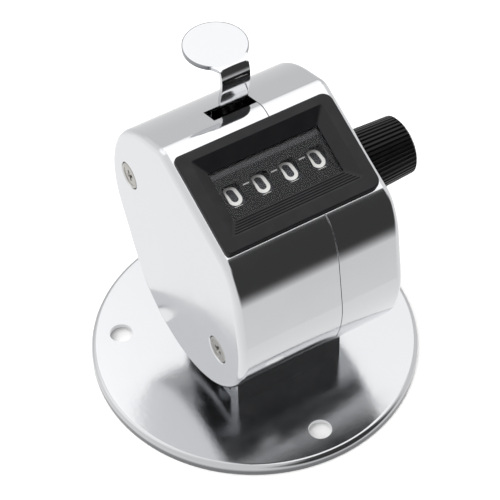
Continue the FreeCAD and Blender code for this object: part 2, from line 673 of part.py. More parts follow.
def pawl(pivot_y, pivot_z, tip_angle, tip_reach):
    tip_y = shaft_y + tip_reach * math.cos(math.radians(tip_angle))
    tip_z = shaft_z + tip_reach * math.sin(math.radians(tip_angle))
    discs = [(pivot_y, pivot_z, pawl_eye_radius), (tip_y, tip_z, pawl_tip_radius)]
    made = belt(discs, ratchet_x, ratchet_x + ratchet_thickness)
    return made.cut(rod(pawl_pin_radius + run_gap, 0, 30, pivot_y, pivot_z))


drive_pawl = pawl(drive_pawl_y, drive_pawl_z, drive_tip_angle, drive_tip_reach)
hold_pawl = pawl(hold_pawl_y, hold_pawl_z, hold_tip_angle, hold_tip_reach)
drive_pawl_pin = rod(pawl_pin_radius, ratchet_x - 0.3, arm_outside, drive_pawl_y, drive_pawl_z)
drive_pawl_pin = drive_pawl_pin.fuse(rod(pawl_pin_radius + 0.5, ratchet_x - 0.8, ratchet_x - 0.1,
                                         drive_pawl_y, drive_pawl_z))
hold_pawl_pin = rod(pawl_pin_radius, ratchet_x - 0.3, frame_outside, hold_pawl_y, hold_pawl_z)
hold_pawl_pin = hold_pawl_pin.fuse(rod(pawl_pin_radius + 0.5, ratchet_x - 0.8, ratchet_x - 0.1,
                                       hold_pawl_y, hold_pawl_z))
drive_pawl_spring = flat_coil(ratchet_x + ratchet_thickness + pawl_coil_gap, lever_arm_inside - pawl_coil_gap,
                              drive_coil_turns, drive_pawl_y, drive_pawl_z)
hold_pawl_spring = flat_coil(ratchet_x + ratchet_thickness + pawl_coil_gap, frame_inside - pawl_coil_gap,
                             hold_coil_turns, hold_pawl_y, hold_pawl_z)

# ---- reset knob ---------------------------------------------------------------------------------------------------


def fluted_ring(radius, x):
    spots = []
    for i in range(knob_flutes):
        a = 2 * math.pi * i / knob_flutes
        step = 2 * math.pi / knob_flutes
        for shift, depth in ((0.0, 0.0), (0.45, 0.0), (0.72, knob_flute_depth)):
            r = radius - depth
            b = a + shift * step
            spots.append(V(x, shaft_y + r * math.cos(b), shaft_z + r * math.sin(b)))
    spots.append(spots[0])
    return Part.makePolygon(spots)


knob_body = Part.makeLoft([fluted_ring(knob_base_radius, knob_start_x),
                           fluted_ring(knob_end_radius, knob_end_x)], True, True)
cap_block = rod(knob_base_radius + 1, knob_end_x - 4, knob_end_x, shaft_y, shaft_z)
cap_edges = [e for e in cap_block.Edges if abs(e.BoundBox.XMin - knob_end_x) < 1e-6
             and e.BoundBox.XLength < 1e-6]
dome = Part.makeCone(knob_end_radius + knob_cap_round * 0.3 + 3.0, knob_end_radius - knob_cap_round, 3.0,
                     V(knob_end_x - 3.0, shaft_y, shaft_z), V(1, 0, 0))
keep = rod(knob_base_radius + 5, knob_start_x - 1, knob_end_x - 3.0, shaft_y, shaft_z).fuse(dome)
knob_body = knob_body.common(keep)
knob_hub = rod(knob_hub_radius, frame_outside + 0.3, knob_start_x + 0.2, shaft_y, shaft_z)
reset_knob = knob_body.fuse(knob_hub)
reset_knob = reset_knob.cut(rod(shaft_radius + fixed_gap, frame_outside - 1, knob_end_x - 2.4,
                                shaft_y, shaft_z))
reset_knob = reset_knob.removeSplitter()

# ---- write one file per piece -----------------------------------------------------------------------------------------
pieces = {
    "base_plate": base_plate,
    "saddle_bracket": saddle_bracket,
    "saddle_rivets": saddle_rivets,
    "saddle_bolts": saddle_bolts,
    "saddle_nuts": saddle_nuts,
    "saddle_spacers": saddle_spacers,
    "left_shell": left_shell,
    "right_shell": right_shell,
    "bezel": bezel,
    "window_lens": window_lens,
    "number_mask": number_mask,
    "left_screws": screw_sets["left_screws"],
    "right_screws": screw_sets["right_screws"],
    "rear_tie_post": rear_tie_post,
    "front_tie_post": front_tie_post,
    "inner_frame": inner_frame,
    "spring_shelf": spring_shelf,
    "wheel_shaft": wheel_shaft,
    "shaft_clip": shaft_clip,
    "left_collar": left_collar,
    "right_collar": right_collar,
    "thousands_wheel": thousands_wheel,
    "hundreds_wheel": hundreds_wheel,
    "tens_wheel": tens_wheel,
    "units_wheel": units_wheel,
    "ratchet_wheel": ratchet_wheel,
    "pinion_shaft": pinion_shaft,
    "thousands_pinion": pinions[0],
    "hundreds_pinion": pinions[1],
    "tens_pinion": pinions[2],
    "thumb_lever": thumb_lever,
    "lever_pin": lever_pin,
    "return_spring": return_spring,
    "drive_pawl": drive_pawl,
    "drive_pawl_pin": drive_pawl_pin,
    "drive_pawl_spring": drive_pawl_spring,
    "hold_pawl": hold_pawl,
    "hold_pawl_pin": hold_pawl_pin,
    "hold_pawl_spring": hold_pawl_spring,
    "reset_knob": reset_knob,
}
os.makedirs("parts", exist_ok=True)
for name, shape in pieces.items():
    box = shape.BoundBox
    print(name, "valid", shape.isValid(), "solids", len(shape.Solids), "volume", round(shape.Volume, 1),
          "x", round(box.XMin, 1), round(box.XMax, 1), "y", round(box.YMin, 1), round(box.YMax, 1),
          "z", round(box.ZMin, 1), round(box.ZMax, 1))
    shape.exportStep("parts/" + name + ".step")
print("shaft at", round(shaft_y, 2), round(shaft_z, 2), "pinion at", round(pinion_y, 2), round(pinion_z, 2))
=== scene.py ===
import bpy
import bmesh
import json
import math
from mathutils import Matrix, Vector


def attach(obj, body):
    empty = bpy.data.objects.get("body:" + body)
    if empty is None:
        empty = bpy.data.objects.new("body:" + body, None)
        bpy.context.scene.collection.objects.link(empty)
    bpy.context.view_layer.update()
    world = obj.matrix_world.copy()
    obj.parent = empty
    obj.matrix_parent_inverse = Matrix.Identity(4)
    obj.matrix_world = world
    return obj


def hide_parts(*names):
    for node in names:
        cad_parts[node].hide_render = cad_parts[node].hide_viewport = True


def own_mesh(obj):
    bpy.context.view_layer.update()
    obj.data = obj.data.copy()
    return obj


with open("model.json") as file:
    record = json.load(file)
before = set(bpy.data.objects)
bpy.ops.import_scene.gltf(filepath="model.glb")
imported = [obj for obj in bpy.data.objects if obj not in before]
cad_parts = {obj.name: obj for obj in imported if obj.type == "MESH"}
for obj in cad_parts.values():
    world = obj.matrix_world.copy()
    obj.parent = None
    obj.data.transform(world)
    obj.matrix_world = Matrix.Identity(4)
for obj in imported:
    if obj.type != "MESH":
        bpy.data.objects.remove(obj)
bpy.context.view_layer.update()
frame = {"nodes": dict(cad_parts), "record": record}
print("stage: frame loaded,", len(frame["nodes"]), "nodes")

mm = 0.001


# colours come as sRGB hex and are turned linear here
def hexColour(code):
    parts = [int(code[i:i + 2], 16) / 255 for i in (1, 3, 5)]
    linear = [p / 12.92 if p <= 0.04045 else ((p + 0.055) / 1.055) ** 2.4 for p in parts]
    return (*linear, 1.0)


def addNode(material, kind, links=(), **settings):
    node = material.node_tree.nodes.new(kind)
    for name, value in settings.items():
        if name.startswith("in_"):
            key = name[3:]
            socket = node.inputs[int(key)] if key.isdigit() else node.inputs[key.replace("_", " ")]
            socket.default_value = value
        else:
            setattr(node, name, value)
    for source, target in links:
        material.node_tree.links.new(source, node.inputs[target])
    return node


def newMaterial(name, colour, metallic, roughness, **more):
    material = bpy.data.materials.new(name)
    material.use_nodes = True
    shader = material.node_tree.nodes["Principled BSDF"]
    shader.inputs["Base Color"].default_value = hexColour(colour)
    shader.inputs["Metallic"].default_value = metallic
    shader.inputs["Roughness"].default_value = roughness
    for key, value in more.items():
        shader.inputs[key.replace("_", " ")].default_value = value
    return material, shader


def placeCoords(material, scale=(1, 1, 1)):
    coords = addNode(material, "ShaderNodeTexCoord")
    return addNode(material, "ShaderNodeMapping", [(coords.outputs["Object"], "Vector")], in_Scale=scale)


# where the camera stands, measured from the middle of the base
shot = {"azimuth": -30.48, "elevation": 47.81, "roll": -1.36, "distance": 507.0 * mm,
        "slideX": 1.18 * mm, "slideY": -22.43 * mm, "focalWidths": 4.2238, "sensor": 36.0}


def buildCamera():
    a, e, r = (math.radians(shot[k]) for k in ("azimuth", "elevation", "roll"))
    back = Vector((math.sin(a) * math.cos(e), -math.cos(a) * math.cos(e), math.sin(e)))
    right = Vector((math.cos(a), math.sin(a), 0))
    up = back.cross(right)
    right, up = math.cos(r) * right + math.sin(r) * up, -math.sin(r) * right + math.cos(r) * up
    data = bpy.data.cameras.new("camera")
    data.sensor_width = shot["sensor"]
    data.lens = shot["focalWidths"] * shot["sensor"]
    data.clip_start = 0.01
    camera = bpy.data.objects.new("camera", data)
    bpy.context.scene.collection.objects.link(camera)
    turn = Matrix((right, up, back)).transposed()
    place = back * shot["distance"] - right * shot["slideX"] - up * shot["slideY"]
    camera.matrix_world = Matrix.Translation(place) @ turn.to_4x4()
    bpy.context.scene.camera = camera


buildCamera()

# each patch of the tent: the way it faces, the edges of its glow, its levels, how it fades, how it joins
studio = {"floorHalf": 3.0, "floorColour": "#fbfbfa", "lampAim": (0, 0, 0.04),
          "patches": (((0.35, -0.92, 0.18), (0.64, 0.90), (1.0, 0.055), "SMOOTHSTEP", "MULTIPLY"),
                      ((0.341, -0.60, 0.72), (0.885, 0.955), (1.0, 0.055), "SMOOTHSTEP", "MINIMUM"),
                      ((-0.4, 0.6, -0.7), (0.0, 1.0), (0.98, 1.15), "LINEAR", "MULTIPLY"),
                      ((0.341, 0.579, 0.741), (0.93, 0.985), (1.0, 1.9), "SMOOTHSTEP", "MULTIPLY"),
                      ((0.30, 0.93, 0.20), (0.5, 0.9), (1.0, 0.76), "SMOOTHSTEP", "MULTIPLY"),
                      ((-0.34, 0.58, 0.74), (0.75, 0.97), (1.0, 1.5), "SMOOTHSTEP", "MULTIPLY"),
                      ((0.33, -0.02, 0.94), (0.90, 0.965), (1.0, 1.75), "SMOOTHSTEP", "MULTIPLY")),
          "lamps": (("overhead softbox", (-0.45, -0.25, 0.8), 0.7, 6.0),
                    ("fill softbox", (0.6, 0.3, 0.7), 0.6, 3.0))}


def buildStudio():
    bpy.context.scene.view_settings.view_transform = "Standard"
    bm = bmesh.new()
    bmesh.ops.create_grid(bm, x_segments=1, y_segments=1, size=studio["floorHalf"])
    mesh = bpy.data.meshes.new("floor")
    bm.to_mesh(mesh)
    bm.free()
    floor = bpy.data.objects.new("floor", mesh)
    bpy.context.scene.collection.objects.link(floor)
    paper, shader = newMaterial("pale paper sweep", studio["floorColour"], 0.0, 0.9)
    grain = addNode(paper, "ShaderNodeTexNoise", [(placeCoords(paper).outputs[0], "Vector")], in_Scale=60.0)
    bump = addNode(paper, "ShaderNodeBump", [(grain.outputs["Fac"], "Height")], in_Strength=0.02)
    paper.node_tree.links.new(bump.outputs["Normal"], shader.inputs["Normal"])
    floor.data.materials.append(paper)
    # the chromium mirrors the tent below as well, instead of the lit paper
    floor.visible_glossy = False
    # a tent of white cloth: two dim openings, then a lift below and the brighter and greyer patches
    world = bpy.data.worlds.new("white tent")
    bpy.context.scene.world = world
    world.use_nodes = True
    ground = world.node_tree.nodes["Background"]
    ground.inputs["Color"].default_value = hexColour("#ffffff")
    coords = addNode(world, "ShaderNodeTexCoord")

    cloth = None
    for side, edges, levels, fade, joining in studio["patches"]:
        facing = addNode(world, "ShaderNodeVectorMath", [(coords.outputs["Generated"], 0)],
                         operation="DOT_PRODUCT", in_1=Vector(side).normalized())
        patch = addNode(world, "ShaderNodeMapRange", [(facing.outputs["Value"], "Value")],
                        interpolation_type=fade, in_1=edges[0], in_2=edges[1], in_3=levels[0], in_4=levels[1])
        if cloth is None:
            cloth = patch.outputs[0]
        else:
            cloth = addNode(world, "ShaderNodeMath", [(cloth, 0), (patch.outputs[0], 1)],
                            operation=joining).outputs[0]
    world.node_tree.links.new(cloth, ground.inputs["Strength"])
    for name, place, size, watts in studio["lamps"]:
        data = bpy.data.lights.new(name, "AREA")
        data.energy = watts
        data.size = size
        lamp = bpy.data.objects.new(name, data)
        bpy.context.scene.collection.objects.link(lamp)
        lamp.location = place
        lamp.visible_glossy = False
        lamp.rotation_euler = (Vector(studio["lampAim"]) - Vector(place)).to_track_quat("-Z", "Y").to_euler()


buildStudio()
print("stage: camera, floor and light")


# a fine bump from a noise whose bumps are about size millimetres apart
def waviness(material, shader, size, strength, distance, detail=2.0):
    noise = addNode(material, "ShaderNodeTexNoise", [(placeCoords(material).outputs[0], "Vector")],
                    in_Scale=1 / (size * mm), in_Detail=detail)
    bump = addNode(material, "ShaderNodeBump", [(noise.outputs["Fac"], "Height")],
                   in_Strength=strength, in_Distance=distance * mm)
    material.node_tree.links.new(bump.outputs["Normal"], shader.inputs["Normal"])


# the sheen wanders between low and high in patches of about size millimetres
def roughnessPatches(material, shader, size, low, high):
    noise = addNode(material, "ShaderNodeTexNoise", [(placeCoords(material).outputs[0], "Vector")],
                    in_Scale=1 / (size * mm), in_Detail=6.0)
    spread = addNode(material, "ShaderNodeMapRange", [(noise.outputs["Fac"], "Value")],
                     in_1=0.35, in_2=0.7, in_3=low, in_4=high)
    material.node_tree.links.new(spread.outputs[0], shader.inputs["Roughness"])


# where shade is painted into the plate colour: along the sheared edge of the lever and at the foot of the
# disc
paintedShade = {"padY": 13.9, "padRing": (6.98, 7.08), "neckEnd": (-5.9, -5.6), "footShade": (2.1, 1.3)}


def makeFinishes():
    made = {}
    # bright chromium plate on pressed steel: mirror sharp, very slightly wavy from the press tool
    m, s = newMaterial("chromium plated pressed steel", "#d2d3d5", 1.0, 0.12)
    waviness(m, s, 5.0, 0.06, 0.05)
    roughnessPatches(m, s, 12.0, 0.10, 0.15)
    made["caseChrome"] = m
    # the lever carries the same plate, with a painted shade of grey along its sheared edge
    m, s = newMaterial("chromium plated lever strip", "#d2d3d5", 1.0, 0.10)
    waviness(m, s, 4.0, 0.05, 0.04)
    roughnessPatches(m, s, 8.0, 0.08, 0.13)
    place = placeCoords(m)
    place.inputs["Location"].default_value = (0, -paintedShade["padY"] * mm, 0)
    place.inputs["Scale"].default_value = (1, 1, 0)
    span = addNode(m, "ShaderNodeVectorMath", [(place.outputs[0], 0)], operation="LENGTH")
    axes = addNode(m, "ShaderNodeSeparateXYZ", [(place.outputs[0], 0)])
    outerRing = addNode(m, "ShaderNodeMapRange", [(span.outputs["Value"], "Value")],
                        in_1=paintedShade["padRing"][0] * mm, in_2=paintedShade["padRing"][1] * mm)
    behind = addNode(m, "ShaderNodeMapRange", [(axes.outputs["Y"], "Value")],
                     in_1=paintedShade["neckEnd"][0] * mm, in_2=paintedShade["neckEnd"][1] * mm)
    edge = addNode(m, "ShaderNodeMath", [(outerRing.outputs[0], 0), (behind.outputs[0], 1)],
                   operation="MULTIPLY")
    # painted shade: the plate colour goes grey on the outer ring of the pad, away from the neck
    plate = addNode(m, "ShaderNodeMix", [(edge.outputs[0], "Factor")], data_type="RGBA",
                    in_6=hexColour("#d2d3d5"), in_7=hexColour("#85878a"))
    m.node_tree.links.new(plate.outputs[2], s.inputs["Base Color"])
    made["leverChrome"] = m
    # the same plate on thinner sheet: orange peel and tiny pits scatter the picture it mirrors
    m, s = newMaterial("chromium plated sheet disc", "#c2c3c5", 1.0, 0.06)
    waviness(m, s, 1.1, 0.22, 0.05, 5.0)
    roughnessPatches(m, s, 6.0, 0.14, 0.2)
    # painted shade: the plate colour goes dark grey toward the bottom of the disc, where it meets the floor
    height = addNode(m, "ShaderNodeSeparateXYZ", [(placeCoords(m).outputs[0], 0)])
    footShade = addNode(m, "ShaderNodeMapRange", [(height.outputs["Z"], "Value")],
                   in_1=paintedShade["footShade"][0] * mm, in_2=paintedShade["footShade"][1] * mm)
    plate = addNode(m, "ShaderNodeMix", [(footShade.outputs[0], "Factor")], data_type="RGBA",
                    in_6=hexColour("#c2c3c5"), in_7=hexColour("#6f7072"))
    m.node_tree.links.new(plate.outputs[2], s.inputs["Base Color"])
    made["discChrome"] = m
    # injection moulded ABS with a spark-eroded satin: dark, soft highlights
    m, s = newMaterial("satin moulded ABS", "#121214", 0.0, 0.38, IOR=1.54, Specular_IOR_Level=0.28)
    waviness(m, s, 0.18, 0.12, 0.02)
    roughnessPatches(m, s, 3.0, 0.30, 0.46)
    made["bezelBlack"] = m
    # the knob is the same plastic from a polished tool: deeper black, brighter edges
    m, s = newMaterial("moulded ABS knob", "#0a0a0b", 0.0, 0.32, IOR=1.54, Specular_IOR_Level=0.22)
    waviness(m, s, 0.25, 0.10, 0.02)
    roughnessPatches(m, s, 2.0, 0.26, 0.40)
    made["knobBlack"] = m
    # moulded acetal number wheels, dark grey and slightly waxy
    m, s = newMaterial("moulded acetal wheel", "#3a3b40", 0.0, 0.42, IOR=1.48, Specular_IOR_Level=0.3)
    waviness(m, s, 0.3, 0.08, 0.02)
    roughnessPatches(m, s, 2.5, 0.36, 0.52)
    made["wheelGrey"] = m
    # pad printed figures: flat white ink, a little uneven
    m, s = newMaterial("pad printed white ink", "#f4f4f1", 0.0, 0.55)
    waviness(m, s, 0.12, 0.15, 0.01)
    roughnessPatches(m, s, 0.8, 0.45, 0.65)
    made["figureWhite"] = m
    # painted highlight: grey dashes standing in for glints, with the same sheen and bumps as the white ink
    m, s = newMaterial("painted glint dashes", "#a9a9a8", 0.0, 0.55)
    waviness(m, s, 0.12, 0.15, 0.01)
    roughnessPatches(m, s, 0.8, 0.45, 0.65)
    made["paintedGlintGrey"] = m
    # clear cast acrylic: sharp reflection, clean view
    m, s = newMaterial("clear cast acrylic", "#0c0d0e", 0.0, 0.03, IOR=1.49, Alpha=0.12)
    roughnessPatches(m, s, 5.0, 0.02, 0.05)
    made["windowClear"] = m
    # stove painted sheet behind the window
    m, s = newMaterial("black enamelled sheet", "#101113", 0.0, 0.5)
    waviness(m, s, 0.4, 0.1, 0.02)
    roughnessPatches(m, s, 2.0, 0.4, 0.6)
    made["maskBlack"] = m
    # the strip along the top of the mask is the same enamel in a lighter grey
    m, s = newMaterial("lighter grey enamel", "#3c3c40", 0.0, 0.45)
    waviness(m, s, 0.4, 0.1, 0.02)
    roughnessPatches(m, s, 2.0, 0.35, 0.55)
    made["stripGrey"] = m
    # zinc plated steel: grey, brushed by tumbling
    m, s = newMaterial("bright zinc plated steel", "#b9bcbf", 1.0, 0.3)
    waviness(m, s, 0.5, 0.12, 0.02, 5.0)
    roughnessPatches(m, s, 3.0, 0.22, 0.42)
    made["zincSteel"] = m
    # nickel plated screw heads: a warmer, slightly duller mirror than the case
    m, s = newMaterial("nickel plated screw", "#a3a19c", 1.0, 0.16)
    waviness(m, s, 0.7, 0.12, 0.02)
    roughnessPatches(m, s, 1.5, 0.10, 0.24)
    made["screwSteel"] = m
    # drawn spring wire: darker, even sheen
    m, s = newMaterial("drawn spring steel wire", "#83858a", 1.0, 0.28)
    waviness(m, s, 0.2, 0.1, 0.01)
    roughnessPatches(m, s, 1.0, 0.2, 0.36)
    made["springWire"] = m
    # natural acetal pinions: milky white, soft gloss
    m, s = newMaterial("natural acetal", "#e9e6dc", 0.0, 0.35, IOR=1.48, Subsurface_Weight=0.15)
    waviness(m, s, 0.4, 0.06, 0.02)
    roughnessPatches(m, s, 1.5, 0.28, 0.42)
    made["acetalWhite"] = m
    # turned brass collars: yellow with fine turning marks
    m, s = newMaterial("turned brass", "#d8b25a", 1.0, 0.25)
    waviness(m, s, 0.25, 0.12, 0.01)
    roughnessPatches(m, s, 1.2, 0.18, 0.34)
    made["collarBrass"] = m
    return made


finish = makeFinishes()
slotFinish = {"chromed_steel": "caseChrome", "zinc_steel": "zincSteel", "black_plastic": "bezelBlack",
              "wheel_plastic": "wheelGrey", "clear_plastic": "windowClear", "black_steel": "maskBlack",
              "pinion_plastic": "acetalWhite", "spring_steel": "springWire", "brass_collar": "collarBrass"}
for part in frame["record"]["subparts"]:
    node = frame["nodes"][part["node"]]
    node.data.materials.clear()
    chosen = "knobBlack" if part["node"] == "reset_knob" else slotFinish[part["material_slot"]]
    node.data.materials.append(finish[chosen])
print("stage: finishes on the CAD nodes")

# the window slopes this far from upright
tilt = math.radians(65.0)
windowFrame = Matrix(((1, 0, 0, 0), (0, math.sin(tilt), -math.cos(tilt), -11.7 * mm),
                      (0, math.cos(tilt), math.sin(tilt), 69.2 * mm), (0, 0, 0, 1)))


def facetPoint(along, out):
    spot = windowFrame @ Vector((0, along * mm, out * mm))
    return spot.y / mm, spot.z / mm


def asObject(bm, name):
    mesh = bpy.data.meshes.new(name)
    bm.to_mesh(mesh)
    bm.free()
    made = bpy.data.objects.new(name, mesh)
    bpy.context.scene.collection.objects.link(made)
    return made


# applies one modifier to the mesh and gives back the result
def worked(bm, kind, tool=None, **settings):
    blank = asObject(bm, "blank")
    change = blank.modifiers.new("work", kind)
    for name, value in settings.items():
        setattr(change, name, value)
    if tool is not None:
        change.object = asObject(tool, "tool")
    mesh = bpy.data.meshes.new_from_object(blank.evaluated_get(bpy.context.evaluated_depsgraph_get()))
    result = bmesh.new()
    result.from_mesh(mesh)
    for spare in ([blank] if tool is None else [blank, change.object]):
        bpy.data.objects.remove(spare)
    return result


def cutOut(bm, tool):
    return worked(bm, "BOOLEAN", tool, operation="DIFFERENCE", solver="EXACT")


def addBlock(bm, low, high):
    low, high = Vector(low) * mm, Vector(high) * mm
    made = bmesh.ops.create_cube(bm, size=1.0)["verts"]
    bmesh.ops.scale(bm, verts=made, vec=high - low)
    bmesh.ops.translate(bm, verts=made, vec=(low + high) / 2)
    return made


def addRod(bm, radius, x0, x1, y, z, segments=64):
    made = bmesh.ops.create_cone(bm, cap_ends=True, segments=segments, radius1=radius * mm,
                                 radius2=radius * mm, depth=(x1 - x0) * mm)["verts"]
    bmesh.ops.rotate(bm, verts=made, cent=(0, 0, 0), matrix=Matrix.Rotation(math.pi / 2, 3, "Y"))
    bmesh.ops.translate(bm, verts=made, vec=Vector(((x0 + x1) / 2, y, z)) * mm)


def roundEdges(bm, edges, width, segments=3):
    bmesh.ops.bevel(bm, geom=edges, offset=width * mm, offset_type="OFFSET", affect="EDGES",
                    segments=segments, profile=0.5, material=-1, clamp_overlap=True)


def sharpEdges(bm, degrees):
    return [e for e in bm.edges if e.is_manifold and e.calc_face_angle(0) > math.radians(degrees)]


def addMesh(bm, other):
    mesh = bpy.data.meshes.new("loose")
    other.to_mesh(mesh)
    other.free()
    bm.from_mesh(mesh)


def wrapHull(bm):
    hull = bmesh.ops.convex_hull(bm, input=bm.verts)
    keep = set(g for g in hull["geom"] if isinstance(g, bmesh.types.BMFace))
    bmesh.ops.delete(bm, geom=[f for f in bm.faces if f not in keep], context="FACES")
    bmesh.ops.delete(bm, geom=[v for v in bm.verts if not v.link_faces], context="VERTS")


def sliceAt(bm, place, normal, dist=1e-7, clear=False):
    return bmesh.ops.bisect_plane(bm, geom=bm.verts[:] + bm.edges[:] + bm.faces[:], dist=dist,
                                  plane_co=place, plane_no=normal, clear_outer=clear)


# shades a finished piece, names it and seats it on its body
def putOn(bm, name, finishName, body, nodes=(), smoothBelow=32):
    for face in bm.faces:
        face.smooth = True
    for edge in bm.edges:
        edge.smooth = edge.is_manifold and edge.calc_face_angle(0) < math.radians(smoothBelow)
    piece = asObject(bm, name)
    piece.data.materials.append(finish[finishName])
    piece.modifiers.new("even shading", "WEIGHTED_NORMAL").keep_sharp = True
    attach(piece, body)
    if nodes:
        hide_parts(*nodes)
    return piece


# a shallow pressed disc, hollow below, with three screw holes
baseShape = {"radius": 39.0, "height": 3.0, "sheet": 1.0, "edgeRound": 1.2, "holeRadius": 2.75,
             "holeCircle": 32.0, "holeTurn": 26.5, "holeEdge": 0.3}


def buildBase():
    s = baseShape
    bm = bmesh.new()
    rimTop, inside = s["height"] - s["edgeRound"], s["radius"] - s["sheet"]
    first = bm.verts.new(Vector((0, 0, s["height"])) * mm)
    corner = bm.verts.new(Vector((s["radius"] - s["edgeRound"], 0, s["height"])) * mm)
    bm.edges.new((first, corner))
    bent = bmesh.ops.spin(bm, geom=[corner], cent=Vector((s["radius"] - s["edgeRound"], 0, rimTop)) * mm,
                          axis=(0, 1, 0), angle=math.pi / 2, steps=8)
    last = [v for v in bent["geom_last"] if isinstance(v, bmesh.types.BMVert)][0]
    for x, z in ((s["radius"], 0.25), (s["radius"] - 0.2, 0.0), (inside + 0.1, 0.0), (inside, 0.15),
                 (inside, rimTop - 0.2), (inside - 0.4, s["height"] - s["sheet"]),
                 (0, s["height"] - s["sheet"])):
        new = bm.verts.new(Vector((x, 0, z)) * mm)
        bm.edges.new((last, new))
        last = new
    bmesh.ops.spin(bm, geom=bm.edges[:] + bm.verts[:], cent=(0, 0, 0), axis=(0, 0, 1), angle=2 * math.pi,
                   steps=240, use_merge=True)
    bmesh.ops.remove_doubles(bm, verts=bm.verts, dist=0.001 * mm)
    bmesh.ops.recalc_face_normals(bm, faces=bm.faces)
    # three screw holes on one circle, each with its upper lip rounded over
    for k in range(3):
        turn = math.radians(s["holeTurn"] + 120 * k)
        spot = Vector((math.cos(turn), math.sin(turn), 0)) * s["holeCircle"] * mm
        drill = bmesh.new()
        bmesh.ops.create_cone(drill, cap_ends=True, segments=64, radius1=s["holeRadius"] * mm,
                              radius2=s["holeRadius"] * mm, depth=10 * mm)
        bmesh.ops.translate(drill, verts=drill.verts, vec=spot)
        bm = cutOut(bm, drill)
        lip = [e for e in bm.edges if all(abs((v.co.xy - spot.xy).length - s["holeRadius"] * mm) < 0.01 * mm
                                          and v.co.z > 2.9 * mm for v in e.verts)]
        roundEdges(bm, lip, s["holeEdge"], 3)
    bmesh.ops.recalc_face_normals(bm, faces=bm.faces)
    return putOn(bm, "base_disc", "discChrome", "case_and_base", ["base_plate"])


# two pressed half shells that meet at a seam right of the middle
caseShape = {"half": 21.0, "sheet": 0.8, "edgeRound": 1.6, "seam": 4.8, "seamGap": 0.1, "steps": 168,
             "low": (-4.6, 38.1, 25.3), "back": (2.7, 49.6, 23.7), "crownAlong": 13.4, "crownRadius": 4.2,
             "brow": ((-18.78, 55.75, 8.0, 30, 65), (-8.39, 49.75, 20.0, 7.5, 30)), "proud": 1.2,
             "posts": ((18.0, 53.6), (-19.0, 30.7)), "screwHole": 3.28, "screwDimple": 0.35,
             "tub": (16.2, 8.2, 0.5), "slot": ((-6.0, 4.9, 65), (8.0, 9.6, 90)),
             "shaft": (-8.81, 57.086), "shaftHole": 3.3, "edgeStrip": 0.12, "seamBreak": 0.12}


def buildCaseHalf(side):
    s = caseShape
    bm = bmesh.new()
    discs = [s["low"], s["back"]]
    discs.append((*facetPoint(s["crownAlong"], -s["proud"] - s["crownRadius"]), s["crownRadius"]))
    for y, z, radius in discs:
        addRod(bm, radius, -s["half"], s["half"], y, z, s["steps"])
    # the brow tightens toward the window: a wide arc below, a closer one above
    for y, z, radius, start, stop in s["brow"]:
        for k in range(21):
            turn = math.radians(start + (stop - start) * k / 20)
            for x in (-s["half"], s["half"]):
                bm.verts.new(Vector((x, y - radius * math.cos(turn), z + radius * math.sin(turn))) * mm)
    wrapHull(bm)
    # the slope under the window frame is pressed flat
    slope = windowFrame.to_3x3() @ Vector((0, 0, 1))
    level = windowFrame @ Vector((0, 0, -s["proud"] * mm))
    flat = sliceAt(bm, level, slope, clear=True)["geom_cut"]
    bmesh.ops.holes_fill(bm, edges=[g for g in flat if isinstance(g, bmesh.types.BMEdge)], sides=0)
    bmesh.ops.dissolve_limit(bm, angle_limit=math.radians(0.4), verts=bm.verts, edges=bm.edges)
    bmesh.ops.recalc_face_normals(bm, faces=bm.faces)
    roundEdges(bm, sharpEdges(bm, 60), s["edgeRound"], 7)
    # a narrow strip on each side of the rounded edge keeps its shading to itself
    inset = s["edgeStrip"]
    for x in (-s["half"] + s["edgeRound"] + inset, s["half"] - s["edgeRound"] - inset):
        sliceAt(bm, (x * mm, 0, 0), (1, 0, 0))
    sides = [f for f in bm.faces if abs(f.normal.x) > 0.999]
    bmesh.ops.inset_individual(bm, faces=sides, thickness=inset * mm)
    cut = (s["seam"] + side * s["seamGap"] / 2) * mm
    sliceAt(bm, (cut, 0, 0), (-side, 0, 0), clear=True)
    bm = worked(bm, "SOLIDIFY", thickness=s["sheet"] * mm, offset=-1.0, use_even_offset=True, use_rim=True)
    # the sheared edges along the seam are just broken
    seam = [e for e in sharpEdges(bm, 60) if all(abs(v.co.x - cut) < 1e-6 for v in e.verts)]
    roundEdges(bm, seam, s["seamBreak"], 2)
    tool = bmesh.new()
    width, height, along = s["tub"]
    addBlock(tool, (-width, along - height, -8), (width, along + height, 6))
    bmesh.ops.transform(tool, matrix=windowFrame, verts=tool.verts)
    bm = cutOut(bm, tool)
    # the lever passes through the left half, the knob's shaft through the right
    tool = bmesh.new()
    if side < 0:
        addBlock(tool, *s["slot"])
    else:
        addRod(tool, s["shaftHole"], 10, 30, *s["shaft"])
    bm = cutOut(bm, tool)
    for y, z in s["posts"]:
        tool = bmesh.new()
        addRod(tool, s["screwHole"], side * s["half"] - 4, side * s["half"] + 4, y, z, 72)
        bm = cutOut(bm, tool)
        middle, hole = Vector((y, z)) * mm, s["screwHole"] * mm
        rim = [e for e in bm.edges if all(abs(abs(v.co.x) - s["half"] * mm) < 0.02 * mm and
                                          abs((v.co.yz - middle).length - hole) < 0.02 * mm
                                          for v in e.verts)]
        roundEdges(bm, rim, s["screwDimple"], 4)
    name = "case_left" if side < 0 else "case_right"
    return putOn(bm, name, "caseChrome", "case_and_base",
                 ["left_shell" if side < 0 else "right_shell"])


# a moulded frame on the slope, its mouth funnelled down to the sight
frameShape = {"width": 39.0, "height": 24.4, "proud": 1.2, "corners": (1.3, 2.4), "rim": 0.5,
              "mouth": (33.0, 18.8), "sight": (27.6, 11.6), "along": 0.5, "depth": 1.7,
              "tub": (32.0, 16.0), "floor": -2.35, "ribs": 5, "ribWidth": 0.34, "ribRise": 0.2}


